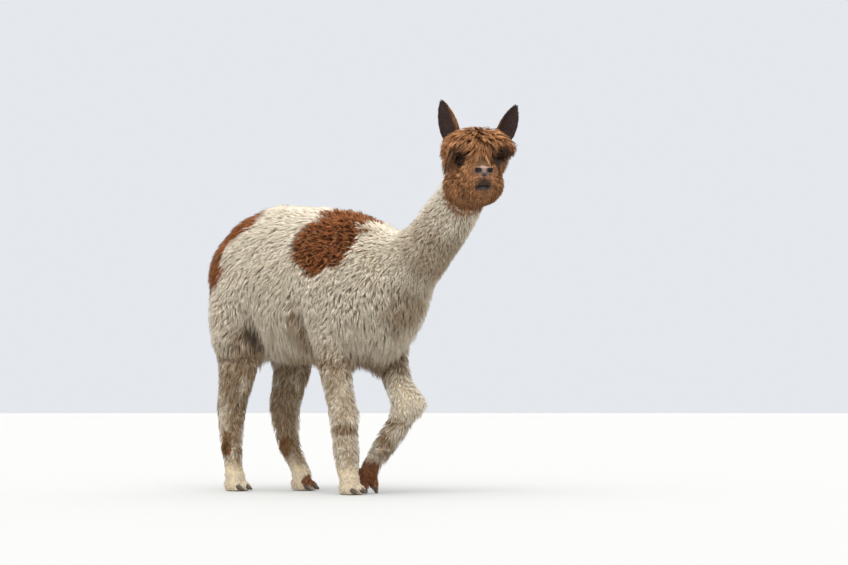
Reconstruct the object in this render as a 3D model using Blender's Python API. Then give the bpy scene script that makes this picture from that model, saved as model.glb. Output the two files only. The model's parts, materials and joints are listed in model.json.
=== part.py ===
"""Life-size alpaca in mid-step with its head turned, as a still display model.

The solids give the outer form of the animal, out to the tips of its fleece. Trunk, neck, head, tail and
legs are lofted forms that are melted into one body and then parted with thin cuts. Feet, toenails, ears
and eyes are solids of their own.

The animal faces -Y, its left is +X, and it stands on the floor at z = 0. All sizes are in metres. It is
modelled about the floor under the trunk's middle, with places given as forward, left and up of there. At
the end it moves back, so that the origin is on the floor under the middle of the whole animal.
"""

import math

import bmesh
import bpy
import numpy as np
from mathutils import Matrix, Vector

# Driving sizes.
MIDDLE = 0.2105  # how far the whole animal's middle is ahead of the trunk's
GAP = 0.0003  # clearance between solids that meet
UP = Vector((0, 0, 1))
AHEAD = Vector((0, -1, 0))
BODY_VOXEL = 0.0065  # grain at which forms melt together
HEAD_VOXEL = 0.004
FOOT_VOXEL = 0.0028
BODY_TRIANGLES = 3600
HEAD_TRIANGLES = 900
FOOT_TRIANGLES = 180

# The head's own frame starts midway between the eyes.
HEAD_AT = (0.790, -0.015, 1.033)
HEAD_TURN = -35.5  # degrees about +Z, to the animal's right
HEAD_LIFT = 4.0  # degrees, nose up
EYE_RADIUS = 0.018
EYE_AT = (0.006, 0.049, -0.002)  # the left eye's centre in the head's frame
HOLLOW_AT = (0.042, 0.062, -0.008)  # where the wool opens around that eye, and the opening's half sizes
HOLLOW = (0.050, 0.034, 0.021)

# Sections of the lofts: forward, left, up, half width, rise above the centre line, drop below it.
TRUNK = (
    (-0.445, 0, 0.670, 0.075, 0.070, 0.095),
    (-0.425, 0, 0.680, 0.115, 0.108, 0.145),
    (-0.385, 0, 0.685, 0.150, 0.155, 0.185),
    (-0.315, 0, 0.688, 0.186, 0.210, 0.216),
    (-0.200, 0, 0.688, 0.210, 0.254, 0.236),
    (-0.050, 0, 0.685, 0.215, 0.254, 0.250),
    (0.100, 0, 0.680, 0.212, 0.242, 0.258),
    (0.220, 0, 0.675, 0.200, 0.226, 0.253),
    (0.320, 0, 0.670, 0.182, 0.186, 0.246),
    (0.400, 0, 0.655, 0.155, 0.145, 0.220),
    (0.445, 0, 0.642, 0.122, 0.100, 0.178),
    (0.472, 0, 0.630, 0.082, 0.060, 0.125),
)
NECK = (
    (0.250, 0, 0.690, 0.150, 0.145, 0.160),
    (0.390, 0, 0.710, 0.130, 0.130, 0.145),
    (0.510, 0, 0.760, 0.098, 0.097, 0.105),
    (0.650, 0.008, 0.880, 0.083, 0.085, 0.086),
    (0.730, 0.008, 0.985, 0.074, 0.074, 0.074),
)
LEGS = {  # here rise is towards the front, and drop towards the back
    "foreleg_right": (
        (0.190, -0.100, 0.600, 0.080, 0.110, 0.110),
        (0.205, -0.105, 0.470, 0.070, 0.085, 0.080),
        (0.220, -0.100, 0.370, 0.052, 0.056, 0.056),
        (0.245, -0.098, 0.270, 0.050, 0.051, 0.049),
        (0.252, -0.096, 0.220, 0.052, 0.052, 0.050),
        (0.260, -0.094, 0.140, 0.042, 0.042, 0.041),
        (0.265, -0.092, 0.075, 0.034, 0.034, 0.035),
        (0.267, -0.091, 0.035, 0.033, 0.033, 0.033),
    ),
    "foreleg_left": (
        (0.200, 0.100, 0.600, 0.080, 0.110, 0.110),
        (0.225, 0.105, 0.470, 0.070, 0.085, 0.080),
        (0.275, 0.100, 0.385, 0.053, 0.052, 0.052),
        (0.335, 0.092, 0.300, 0.054, 0.060, 0.054),
        (0.325, 0.083, 0.245, 0.046, 0.050, 0.044),
        (0.270, 0.066, 0.165, 0.040, 0.038, 0.038),
        (0.222, 0.050, 0.100, 0.033, 0.033, 0.033),
        (0.200, 0.044, 0.065, 0.032, 0.032, 0.032),
    ),
    "hindleg_right": (
        (-0.280, -0.100, 0.620, 0.090, 0.120, 0.110),
        (-0.272, -0.107, 0.500, 0.084, 0.112, 0.102),
        (-0.275, -0.106, 0.400, 0.063, 0.080, 0.078),
        (-0.305, -0.102, 0.310, 0.051, 0.055, 0.058),
        (-0.315, -0.100, 0.260, 0.048, 0.048, 0.052),
        (-0.312, -0.100, 0.160, 0.042, 0.040, 0.042),
        (-0.302, -0.100, 0.075, 0.033, 0.032, 0.032),
        (-0.299, -0.100, 0.035, 0.032, 0.031, 0.031),
    ),
    "hindleg_left": (
        (-0.280, 0.105, 0.620, 0.090, 0.125, 0.125),
        (-0.255, 0.110, 0.500, 0.085, 0.110, 0.115),
        (-0.250, 0.106, 0.400, 0.064, 0.078, 0.080),
        (-0.280, 0.102, 0.310, 0.051, 0.056, 0.060),
        (-0.290, 0.101, 0.260, 0.049, 0.048, 0.053),
        (-0.263, 0.101, 0.160, 0.041, 0.039, 0.041),
        (-0.202, 0.101, 0.075, 0.033, 0.032, 0.032),
        (-0.178, 0.101, 0.035, 0.032, 0.031, 0.031),
    ),
}
TAIL = (  # here rise is towards the back
    (-0.370, 0, 0.790, 0.052, 0.045, 0.050),
    (-0.436, 0, 0.755, 0.057, 0.038, 0.050),
    (-0.466, 0, 0.685, 0.056, 0.032, 0.040),
    (-0.472, 0, 0.605, 0.044, 0.025, 0.028),
)
# Each foot hangs from its fetlock: forward, left and up of that, degrees turned about +Z, degrees of
# pitch, and the height of the cut between leg and foot.
FEET = {
    "forefoot_right": ((0.266, -0.091, 0.072), -8, 0, 0.064),
    "forefoot_left": ((0.218, 0.048, 0.096), -12, -48, 0.090),
    "hindfoot_right": ((-0.301, -0.100, 0.072), -4, 0, 0.064),
    "hindfoot_left": ((-0.199, 0.101, 0.072), -4, 0, 0.064),
}
# Sections of a foot, from the fetlock; toes and nails are those of the left side.
PASTERN = (
    (-0.004, 0, 0.030, 0.032, 0.033, 0.034),
    (0.000, 0, 0.000, 0.033, 0.032, 0.032),
    (0.008, 0, -0.025, 0.032, 0.030, 0.031),
    (0.014, 0, -0.042, 0.030, 0.028, 0.030),
)
TOE = (
    (-0.016, 0.0120, -0.051, 0.0150, 0.0200, 0.0230),
    (0.008, 0.0150, -0.052, 0.0165, 0.0210, 0.0225),
    (0.034, 0.0175, -0.055, 0.0160, 0.0180, 0.0190),
    (0.048, 0.0180, -0.058, 0.0130, 0.0140, 0.0150),
)
NAIL = (
    (0.044, 0.0180, -0.0540, 0.0085, 0.0080, 0.0100),
    (0.060, 0.0190, -0.0585, 0.0080, 0.0070, 0.0090),
    (0.073, 0.0190, -0.0640, 0.0046, 0.0036, 0.0050),
)
# The head's sections, in its own frame.
SKULL = (
    (-0.105, 0, -0.020, 0.045, 0.040, 0.050),
    (-0.060, 0, -0.015, 0.056, 0.058, 0.075),
    (0.000, 0, -0.020, 0.058, 0.050, 0.078),
    (0.040, 0, -0.035, 0.046, 0.042, 0.068),
    (0.080, 0, -0.050, 0.036, 0.032, 0.056),
    (0.112, 0, -0.059, 0.032, 0.028, 0.048),
    (0.130, 0, -0.064, 0.025, 0.021, 0.037),
)
TOPKNOT = (  # here rise is towards the front, and drop towards the back
    (-0.010, 0.001, 0.000, 0.100, 0.068, 0.075),
    (-0.008, 0.001, 0.016, 0.119, 0.086, 0.090),
    (-0.008, 0.001, 0.036, 0.124, 0.093, 0.094),
    (-0.011, 0.002, 0.062, 0.115, 0.085, 0.087),
    (-0.014, 0.003, 0.087, 0.090, 0.063, 0.068),
    (-0.016, 0.003, 0.102, 0.055, 0.036, 0.042),
)
# Wool on the cheeks and beard, then on the temples and nape: centre and half sizes, forward, left, up.
WOOL = (
    ((-0.020, -0.010, -0.074), (0.090, 0.095, 0.074)),
    ((-0.058, 0.000, -0.005), (0.062, 0.098, 0.085)),
)
# Ears in the head's frame: root, tip and the way the hollow faces.
EARS = {
    "ear_left": ((-0.045, 0.066, 0.050), (-0.040, 0.122, 0.176), (1, 0.25, 0)),
    "ear_right": ((-0.045, -0.066, 0.045), (-0.040, -0.107, 0.189), (1, -0.25, 0)),
}
EAR_WIDTHS = (0.020, 0.030, 0.033, 0.031, 0.024, 0.013, 0.003)  # half widths, root to tip
EAR_THICKNESS = 0.0065
# Cuts that part the body: centre, normal and half size, all forward, left, up.
CUTS = (
    ((0.410, 0, 0.720), (0.75, 0, 0.66), 0.260),  # neck
    ((0.215, -0.105, 0.408), (0, 0, 1), 0.095),  # forelegs
    ((0.255, 0.105, 0.408), (0, 0, 1), 0.095),
    ((-0.280, -0.110, 0.435), (0, 0, 1), 0.105),  # hind legs
    ((-0.250, 0.110, 0.435), (0, 0, 1), 0.105),
)
COLOURS = {  # linear colour and roughness, by a word in the node's name
    "nail": ((0.100, 0.090, 0.078), 0.45),
    "foot": ((0.075, 0.035, 0.018), 0.80),
    "eye": ((0.010, 0.007, 0.005), 0.08),
    "ear": ((0.060, 0.040, 0.030), 0.80),
    "head": ((0.150, 0.062, 0.026), 0.85),
    "": ((0.450, 0.386, 0.283), 0.85),
}
BODY_PARTS = {  # a point in each part of the body once it is cut
    "trunk": (0, 0, 0.68),
    "neck": (0.58, 0, 0.83),
    "foreleg_right": (0.24, -0.10, 0.23),
    "foreleg_left": (0.28, 0.08, 0.25),
    "hindleg_right": (-0.30, -0.10, 0.25),
    "hindleg_left": (-0.26, 0.10, 0.25),
}


def at(forward, left, up):
    return Vector((left, -forward, up))


def in_between(rows, steps):
    """The rows of numbers with steps rows in each gap, on a Catmull-Rom curve through all of them."""
    rows = np.array(rows, float)
    padded = np.vstack([2 * rows[0] - rows[1], rows, 2 * rows[-1] - rows[-2]])
    curve = []
    for before, start, end, after in zip(padded, padded[1:], padded[2:], padded[3:]):
        for t in np.arange(steps) / steps:
            straight = 2 * start + (end - before) * t
            square = (2 * before - 5 * start + 4 * end - after) * t**2
            cube = (3 * start - before - 3 * end + after) * t**3
            curve.append((straight + square + cube) / 2)
    curve.append(rows[-1])
    return np.array(curve)


def mesh_object(name, bm):
    """An object with this bmesh as its mesh, its faces pointing out."""
    bmesh.ops.recalc_face_normals(bm, faces=bm.faces)
    mesh = bpy.data.meshes.new(name)
    bm.to_mesh(mesh)
    bm.free()
    obj = bpy.data.objects.new(name, mesh)
    bpy.context.scene.collection.objects.link(obj)
    return obj


def loft(name, sections, reference=UP, sides=24, steps=4, dome=0.8):
    """A closed form through elliptical sections, its rise and drop along reference.

    Each end is domed, and the dome's height is this share of the end section's half width."""
    rows = in_between(sections, steps)
    centres = [at(*row[:3]) for row in rows]
    bm = bmesh.new()
    rings = []
    for i, (centre, row) in enumerate(zip(centres, rows)):
        along = (centres[min(i + 1, len(rows) - 1)] - centres[max(i - 1, 0)]).normalized()
        across = along.cross(reference).normalized()
        above = across.cross(along)
        half, rise, drop = row[3:6]
        ends = {0: -1, len(rows) - 1: 1}
        domes = [(0, 1.0)]
        if i in ends:  # three shrinking rings close each end
            domes += [(math.sin(a), math.cos(a)) for a in (0.5, 1.0, 1.4)]
        made = []
        for push, shrink in domes:
            middle = centre + along * (ends.get(i, 0) * push * half * dome)
            ring = []
            for k in range(sides):
                angle = 2 * math.pi * k / sides
                lift = rise if math.sin(angle) > 0 else drop
                offset = across * half * math.cos(angle) + above * lift * math.sin(angle)
                ring.append(bm.verts.new(middle + offset * shrink))
            made.append(ring)
        rings += made[::-1] if i == 0 else made
    for first, second in zip(rings, rings[1:]):
        for k in range(sides):
            n = (k + 1) % sides
            bm.faces.new((first[k], first[n], second[n], second[k]))
    bm.faces.new(rings[0])
    bm.faces.new(rings[-1])
    return mesh_object(name, bm)


def ball(name, centre, half_sizes, detail=4):
    """An ellipsoid. Centre and half sizes are forward, left and up."""
    forward, left, up = half_sizes
    bm = bmesh.new()
    shape = Matrix.Translation(at(*centre)) @ Matrix.Diagonal((left, forward, up, 1))
    bmesh.ops.create_icosphere(bm, subdivisions=detail, radius=1, matrix=shape)
    return mesh_object(name, bm)


def slab(name, centre, normal, half_size, thickness=GAP):
    """A thin square plate, as a cutter."""
    bm = bmesh.new()
    shape = Matrix.Diagonal((2 * half_size, 2 * half_size, thickness, 1))
    turn = normal.to_track_quat("Z", "Y").to_matrix().to_4x4()
    bmesh.ops.create_cube(bm, size=1, matrix=Matrix.Translation(centre) @ turn @ shape)
    return mesh_object(name, bm)


def frame(origin, turn=0, pitch=0):
    """The matrix of a local frame: its origin, degrees turned about +Z and degrees of pitch, nose up."""
    turned = Matrix.Rotation(math.radians(turn), 4, "Z")
    return Matrix.Translation(at(*origin)) @ turned @ Matrix.Rotation(math.radians(-pitch), 4, "X")


def discard(*objects):
    for obj in objects:
        bpy.data.objects.remove(obj)


def evaluated_bmesh(objects):
    """The objects' meshes as their modifiers leave them, together in one bmesh."""
    bpy.context.view_layer.update()
    graph = bpy.context.evaluated_depsgraph_get()
    bm = bmesh.new()
    for obj in objects:
        mesh = bpy.data.meshes.new_from_object(obj.evaluated_get(graph))
        mesh.transform(obj.matrix_world)
        bm.from_mesh(mesh)
        bpy.data.meshes.remove(mesh)
    return bm


def apply_modifiers(obj):
    made = mesh_object(obj.name + "_made", evaluated_bmesh([obj]))
    name = obj.name
    discard(obj)
    made.name = name
    return made


def melted(name, parts, voxel, triangles, smoothing, blend=None):
    """One closed body of these overlapping forms, thinned to about this many triangles.

    Blend is a height and the further smoothing that everything above it gets."""
    obj = mesh_object(name, evaluated_bmesh(parts))
    discard(*parts)
    remesh = obj.modifiers.new("melt", "REMESH")
    remesh.mode = "VOXEL"
    remesh.voxel_size = voxel
    remesh.adaptivity = 0
    smooth = obj.modifiers.new("smooth", "SMOOTH")
    smooth.iterations = smoothing
    obj = apply_modifiers(obj)
    if blend:
        height, iterations = blend
        group = obj.vertex_groups.new(name="above")
        group.add([v.index for v in obj.data.vertices if v.co.z > height], 1.0, "REPLACE")
        smooth = obj.modifiers.new("blend", "SMOOTH")
        smooth.iterations = iterations
        smooth.vertex_group = group.name
        obj = apply_modifiers(obj)
    thin = obj.modifiers.new("thin", "DECIMATE")
    thin.ratio = triangles / (2 * len(obj.data.polygons))
    return apply_modifiers(obj)


def subtract(obj, cutters, discard_cutters=True):
    """Cuts the cutters away from obj."""
    for cutter in cutters:
        cut = obj.modifiers.new("cut", "BOOLEAN")
        cut.operation = "DIFFERENCE"
        cut.object = cutter
    obj = apply_modifiers(obj)
    if discard_cutters:
        discard(*cutters)
    return obj


def grown(obj, by=GAP):
    """A copy of obj whose surface stands out by this much, to cut clearance with."""
    copy = mesh_object(obj.name + "_grown", evaluated_bmesh([obj]))
    push = copy.modifiers.new("grow", "DISPLACE")
    push.strength = by
    push.mid_level = 0
    return apply_modifiers(copy)


def loose_parts(obj):
    """Splits obj into its separate bodies, the largest first, and removes obj."""
    bm = evaluated_bmesh([obj])
    left = set(bm.verts)
    bodies = []
    while left:
        body, edge = set(), [next(iter(left))]
        while edge:
            vertex = edge.pop()
            if vertex not in body:
                body.add(vertex)
                edge += [e.other_vert(vertex) for e in vertex.link_edges]
        left -= body
        bodies.append({v.index for v in body})
    parts = []
    for body in sorted(bodies, key=len, reverse=True):
        piece = bm.copy()
        piece.verts.ensure_lookup_table()
        outside = [v for v in piece.verts if v.index not in body]
        bmesh.ops.delete(piece, geom=outside, context="VERTS")
        parts.append(mesh_object("part", piece))
    bm.free()
    discard(obj)
    return parts


def centre_of(obj):
    corners = [Vector(c) for c in obj.bound_box]
    return sum(corners, Vector()) / len(corners)


def mirrored(sections, side):
    """Sections of the left side, or with side at -1 of the right."""
    return [(row[0], side * row[1], *row[2:]) for row in sections]


def floor_block():
    """A block that fills the space just below the floor, as a cutter."""
    return slab("floor", Vector((0, 0, -0.05)), UP, 1.0, 0.1)


def whole_body():
    """Trunk, neck and legs, melted together."""
    forms = [loft("trunk", TRUNK, dome=0.35), loft("neck", NECK)]
    forms += [loft(name, sections, AHEAD) for name, sections in LEGS.items()]
    return melted("body", forms, BODY_VOXEL, BODY_TRIANGLES, 10, (0.40, 40))


def whole_head():
    """The skull with its muzzle and the wool on it, melted together in the head's place."""
    wool = [loft("topknot", TOPKNOT, AHEAD, dome=0.1)] + [ball("wool", *sizes) for sizes in WOOL]
    hollows = [ball("hollow", (HOLLOW_AT[0], side * HOLLOW_AT[1], HOLLOW_AT[2]), HOLLOW) for side in (1, -1)]
    wool = [subtract(form, hollows, discard_cutters=False) for form in wool]
    discard(*hollows)
    head = melted("head", [loft("skull", SKULL), *wool], HEAD_VOXEL, HEAD_TRIANGLES, 6)
    head.data.transform(frame(HEAD_AT, HEAD_TURN, HEAD_LIFT))
    return head


def eyes():
    made = []
    for side, name in ((1, "eye_left"), (-1, "eye_right")):
        forward, left, up = EYE_AT
        eye = ball(name, (forward, side * left, up), (EYE_RADIUS,) * 3, 3)
        eye.data.transform(frame(HEAD_AT, HEAD_TURN, HEAD_LIFT))
        made.append(eye)
    return made


def ear(name, root, tip, facing):
    """A hollow leaf from root to tip, cupped around its hollow."""
    root, tip, facing = at(*root), at(*tip), at(*facing).normalized()
    across = (tip - root).cross(facing).normalized()
    bm = bmesh.new()
    rings = []
    for i, half in enumerate(EAR_WIDTHS):
        t = i / (len(EAR_WIDTHS) - 1)
        middle = root.lerp(tip, t) + facing * 0.010 * math.sin(math.pi * t)
        ring = []
        for skin, angles in ((0, (-60, -30, 0, 30, 60)), (1, (45, 15, -15, -45))):
            for angle in angles:
                a = math.radians(angle)
                back = half * (math.cos(a) - 0.5) * 0.75
                wall = skin * EAR_THICKNESS * min(1.0, half / 0.02)
                offset = across * half * math.sin(a) * 1.15 - facing * (back - wall)
                ring.append(bm.verts.new(middle + offset))
        rings.append(ring)
    for first, second in zip(rings, rings[1:]):
        for k in range(len(first)):
            n = (k + 1) % len(first)
            bm.faces.new((first[k], first[n], second[n], second[k]))
    bm.faces.new(rings[0])
    bm.faces.new(rings[-1])
    obj = mesh_object(name, bm)
    obj.data.transform(frame(HEAD_AT, HEAD_TURN, HEAD_LIFT))
    return obj


def foot(name, fetlock, turn, pitch, top):
    """A two-toed foot with a flat sole, and its two nails."""
    place = frame(fetlock, turn, pitch)
    forms = [loft("pastern", PASTERN, AHEAD, 16)]
    forms += [loft("toe", mirrored(TOE, side), UP, 16) for side in (1, -1)]
    made = melted(name, forms, FOOT_VOXEL, FOOT_TRIANGLES, 3)
    made.data.transform(place)
    nails = []
    for side, word in ((1, "left"), (-1, "right")):
        nail = loft(f"{name}_nail_{word}", mirrored(NAIL, side), UP, 6, 1)
        nail.data.transform(place)
        nails.append(subtract(nail, [floor_block()]))
    above = slab("above", at(fetlock[0], fetlock[1], top + GAP / 2 + 0.1), UP, 0.1, 0.2 + GAP)
    made = subtract(made, [above, floor_block()] + [grown(nail) for nail in nails])
    return [made, *nails]


def colour(obj):
    """Gives obj its own material, by the first of COLOURS whose word is in its name."""
    rgb, roughness = next(look for word, look in COLOURS.items() if word in obj.name)
    material = bpy.data.materials.new(obj.name)
    material.use_nodes = True
    shader = material.node_tree.nodes["Principled BSDF"]
    shader.inputs["Base Color"].default_value = (*rgb, 1)
    shader.inputs["Roughness"].default_value = roughness
    obj.data.materials.append(material)


def main():
    for obj in list(bpy.data.objects):
        bpy.data.objects.remove(obj)
    head = whole_head()
    eyeballs = eyes()
    head = subtract(head, [grown(eye) for eye in eyeballs])
    ears = [subtract(ear(name, *sizes), [grown(head)]) for name, sizes in EARS.items()]
    body = whole_body()
    tail = subtract(loft("tail", TAIL, at(-1, 0, 1), 16, 2), [grown(body)])
    fetlock_cuts = [slab("cut", at(f[0], f[1], top), UP, 0.06) for f, _, _, top in FEET.values()]
    cuts = [slab("cut", at(*centre), at(*normal), half) for centre, normal, half in CUTS]
    body = subtract(body, [grown(head)] + cuts + fetlock_cuts)
    parts = loose_parts(body)
    keep = []
    for name, point in BODY_PARTS.items():
        part = min(parts, key=lambda p: (centre_of(p) - at(*point)).length)
        part.name = name
        keep.append(part)
    discard(*[part for part in parts if part not in keep])
    for name, sizes in FEET.items():
        keep += foot(name, *sizes)
    for obj in [head, tail, *eyeballs, *ears, *keep]:
        obj.location = at(-MIDDLE, 0, 0)
        colour(obj)
        obj.data.shade_smooth()
        obj.data.set_sharp_from_angle(angle=math.radians(50))


main()
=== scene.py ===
"""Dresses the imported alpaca: one skin with its face, eyes, nails, and a fleece of locks, on a pale floor.

Places on the body are forward, left and up of the floor under the middle of the trunk. Places on the head
are forward, left and up of the point midway between the eyes. Everything is in metres.
"""

import json
import math

import bmesh
import bpy
import numpy as np
from mathutils import Matrix, Vector, kdtree
from mathutils.bvhtree import BVHTree

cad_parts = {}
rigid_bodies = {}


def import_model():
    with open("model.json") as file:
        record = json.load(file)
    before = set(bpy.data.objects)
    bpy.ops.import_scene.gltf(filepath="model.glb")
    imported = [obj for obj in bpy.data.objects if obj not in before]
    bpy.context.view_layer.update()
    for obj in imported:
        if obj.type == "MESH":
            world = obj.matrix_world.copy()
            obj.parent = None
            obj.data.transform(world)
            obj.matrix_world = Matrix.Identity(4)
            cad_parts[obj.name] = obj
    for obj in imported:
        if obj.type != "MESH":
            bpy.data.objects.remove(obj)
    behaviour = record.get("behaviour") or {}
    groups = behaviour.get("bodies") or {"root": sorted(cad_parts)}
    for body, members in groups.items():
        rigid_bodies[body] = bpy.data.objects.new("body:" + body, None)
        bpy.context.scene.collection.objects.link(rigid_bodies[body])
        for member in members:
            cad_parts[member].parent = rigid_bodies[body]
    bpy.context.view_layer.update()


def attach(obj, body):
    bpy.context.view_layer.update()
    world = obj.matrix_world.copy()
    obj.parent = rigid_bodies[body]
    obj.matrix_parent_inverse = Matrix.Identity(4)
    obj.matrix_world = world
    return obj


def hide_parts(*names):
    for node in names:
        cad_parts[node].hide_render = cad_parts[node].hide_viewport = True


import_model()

bl_info = {
    "name": "Alpaca",
    "version": (1, 0, 0),
    "blender": (4, 5, 0),
    "location": "3D View > Sidebar > Alpaca",
    "description": "Skin, eyes, nails and fleece for a life-size alpaca",
    "category": "Object",
}

SIDES = {"left": 1, "right": -1}
MIDDLE = 0.2105  # how far the whole animal's middle is ahead of the trunk's
HEAD_AT = (0.79, -0.015, 1.033)
HEAD_TURN = -35.5  # degrees about +Z
HEAD_LIFT = 4.0  # degrees, nose up
EYE_AT = (0.006, 0.049, -0.002)
GAZE = 54  # degrees that each eye looks out to its side
NOSTRIL_AT = (0.128, 0.018, -0.049)
NOSTRIL_SHAPE = (1.5, 1.35, 0.9)
MOUTH_UP = -0.0975
LIPS = ((0.115, 0, -0.092), (0.05, 0.023, 0.022))  # the dark round the mouth: centre and half sizes
LASHES = 46  # on each eye
LASH_LENGTH = 0.016
FOOT_TOP = 0.15  # below this the skin is made finer
FEET = ("forefoot_left", "forefoot_right", "hindfoot_left", "hindfoot_right")
LEGS = ("foreleg_left", "foreleg_right", "hindleg_left", "hindleg_right")
EARS = {  # root, tip and the way the hollow faces, in the head's frame
    "ear_left": ((-0.045, 0.066, 0.05), (-0.04, 0.122, 0.176), (1, 0.25, 0)),
    "ear_right": ((-0.045, -0.066, 0.045), (-0.04, -0.107, 0.189), (1, -0.25, 0)),
}
EAR_WIDTHS = (0.018, 0.0265, 0.0295, 0.0285, 0.0238, 0.015, 0.002)  # half widths, root to tip
EAR_CUP = 66  # degrees that each half of an ear curls round
FLESH = ("trunk", "neck", "head", "tail") + LEGS + FEET + tuple(EARS)
NAILS = tuple(f"{foot}_nail_{side}" for foot in FEET for side in SIDES)
CORES = (  # round cores of the throat, inside the head's wool, and of the tail: place and radius
    (0.64, 0.007, 0.88, 0.06),
    (0.7, 0.004, 0.95, 0.058),
    (0.745, -0.003, 0.995, 0.056),
    (-0.415, 0, 0.755, 0.032),
    (-0.432, 0, 0.73, 0.031),
    (-0.442, 0, 0.7, 0.03),
    (-0.447, 0, 0.672, 0.026),
    (-0.449, 0, 0.65, 0.019),
)
PATCHES = (  # brown patches of the coat: centre and half sizes
    ((0.205, -0.15, 0.795), (0.135, 0.16, 0.112)),  # saddle, right flank
    ((0.2, -0.01, 0.9), (0.118, 0.14, 0.075)),  # saddle, over the back
    ((-0.3, -0.1, 0.86), (0.14, 0.105, 0.078)),  # rump
    ((-0.4, -0.11, 0.745), (0.15, 0.115, 0.125)),
    ((-0.235, 0.12, 0.905), (0.12, 0.17, 0.1)),
    ((-0.45, 0.02, 0.71), (0.095, 0.13, 0.16)),  # behind, round the tail
    ((-0.306, -0.132, 0.15), (0.022, 0.024, 0.042)),  # cannon glands
    ((-0.318, -0.062, 0.15), (0.02, 0.018, 0.036)),
    ((-0.25, 0.078, 0.143), (0.022, 0.022, 0.036)),
    ((-0.245, 0.142, 0.14), (0.022, 0.022, 0.036)),
    ((0.215, 0.046, 0.055), (0.07, 0.07, 0.048)),  # pastern of the lifted foot
    ((-0.14, 0.095, 0.036), (0.028, 0.05, 0.026)),  # front of the left hind foot
)
STAINS_AND_SHADE = (  # where dirt gathers in the wool, and where shade is painted into it under overhanging wool: centre and half sizes
    ((0.285, -0.105, 0.2), (0.05, 0.06, 0.016)),  # under the standing knee: painted shade under its overhanging wool, and dirt
    ((0.31, 0.085, 0.224), (0.05, 0.06, 0.018)),  # under the lifted knee: painted shade under its overhanging wool, and dirt
    ((0.28, 0.075, 0.18), (0.03, 0.04, 0.05)),
    ((-0.25, -0.1, 0.25), (0.04, 0.06, 0.07)),  # hocks
    ((-0.22, 0.06, 0.24), (0.05, 0.05, 0.11)),
    ((-0.185, -0.13, 0.48), (0.06, 0.075, 0.08)),  # flank: painted shade in the fold where the thigh meets the belly, and dirt
    ((-0.27, -0.15, 0.443), (0.06, 0.06, 0.018)),  # under the thigh: painted shade under its overhang, and dirt
    ((0.085, -0.15, 0.48), (0.055, 0.07, 0.1)),  # behind the elbow: painted shade under the shoulder's wool, and dirt
    ((0.06, 0, 0.42), (0.3, 0.16, 0.06)),  # belly: painted shade on the underside, and dirt
    ((0.48, 0, 0.56), (0.105, 0.105, 0.11)),  # chest
    ((0.58, 0, 0.76), (0.12, 0.09, 0.12)),  # throat
)
CREASES = (  # where the wool is nearly black with shade and dirt: centre and half sizes
    ((-0.176, -0.125, 0.5), (0.019, 0.06, 0.05)),
    ((-0.306, -0.135, 0.146), (0.01, 0.016, 0.022)),
    ((-0.176, 0.125, 0.5), (0.019, 0.06, 0.05)),
)
CLEAN = (((0.35, 0.098, 0.3), (0.085, 0.085, 0.062)),)  # the white knee of the lifted leg, kept free of dirt and painted shade
FOLDS = (  # folds of the fleece on either flank: upper end, lower end, depth and width
    ((0.125, 0.2, 0.64), (0.12, 0.165, 0.44), 0.028, 0.018),  # behind the elbow
    ((-0.13, 0.2, 0.6), (-0.155, 0.14, 0.43), 0.034, 0.022),  # in front of the thigh
    ((-0.19, 0.19, 0.45), (-0.32, 0.175, 0.438), 0.026, 0.015),  # under the thigh
)
SWELLS = (  # where the fleece stands fuller on both sides: centre, half sizes and height
    ((0.245, 0.15, 0.56), (0.1, 0.12, 0.15), 0.008),  # shoulder
    ((-0.27, 0.15, 0.56), (0.14, 0.12, 0.13), 0.007),  # thigh
    ((-0.255, 0.15, 0.495), (0.09, 0.09, 0.04), 0.007),
    ((0.5, 0.045, 0.52), (0.07, 0.1, 0.08), 0.009),  # chest
)
OWN_SWELLS = (  # where it stands fuller, or less full, on one side alone
    ((0.72, -0.085, 1), (0.055, 0.05, 0.06), 0.019),  # right cheek
    ((0.352, 0.098, 0.284), (0.054, 0.06, 0.036), 0.022),  # knee of the lifted leg
    ((0.322, 0.085, 0.232), (0.06, 0.06, 0.018), -0.014),
    ((0.335, 0.1, 0.358), (0.06, 0.06, 0.036), -0.01),
    ((0.27, -0.095, 0.244), (0.06, 0.06, 0.026), 0.007),  # knee of the standing leg
    ((0.27, -0.095, 0.2), (0.06, 0.06, 0.018), -0.005),
    ((0.265, -0.095, 0.12), (0.06, 0.06, 0.07), 0.006),
    ((-0.225, 0.11, 0.25), (0.09, 0.07, 0.075), 0.011),  # hocks
    ((-0.27, -0.11, 0.27), (0.09, 0.07, 0.085), 0.005),
)
HEAD_LUMPS = (  # centre, half sizes, pitch
    ((-0.04, 0, -0.012), (0.07, 0.056, 0.055), 0),  # cranium
    ((0.01, 0, -0.008), (0.05, 0.052, 0.04), -10),  # forehead
    ((0.055, 0, -0.037), (0.066, 0.026, 0.027), -17),  # bridge of the nose
    ((0.04, 0, -0.055), (0.072, 0.042, 0.047), -10),  # face
    ((0.084, 0, -0.068), (0.042, 0.033, 0.04), -6),  # muzzle
    ((0.11, 0, -0.052), (0.024, 0.027, 0.017), -8),  # nose
    ((0.099, 0, -0.108), (0.023, 0.018, 0.0125), 0),  # lower lip and chin
    ((0.035, 0, -0.094), (0.08, 0.031, 0.028), -4),  # jaw
)
PAIRED_LUMPS = (  # centre, half sizes, pitch, turn: those of the left side
    ((0.109, 0.014, -0.081), (0.022, 0.017, 0.019), 0, 0),  # upper lip
    ((0.12, 0.019, -0.0475), (0.013, 0.0105, 0.0105), -6, -10),  # nostril wing
    ((0.026, 0.036, -0.032), (0.038, 0.018, 0.019), -14, -8),  # cheek bone
    ((0.008, 0.047, 0.0185), (0.026, 0.015, 0.01), 0, -28),  # brow
)
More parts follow.
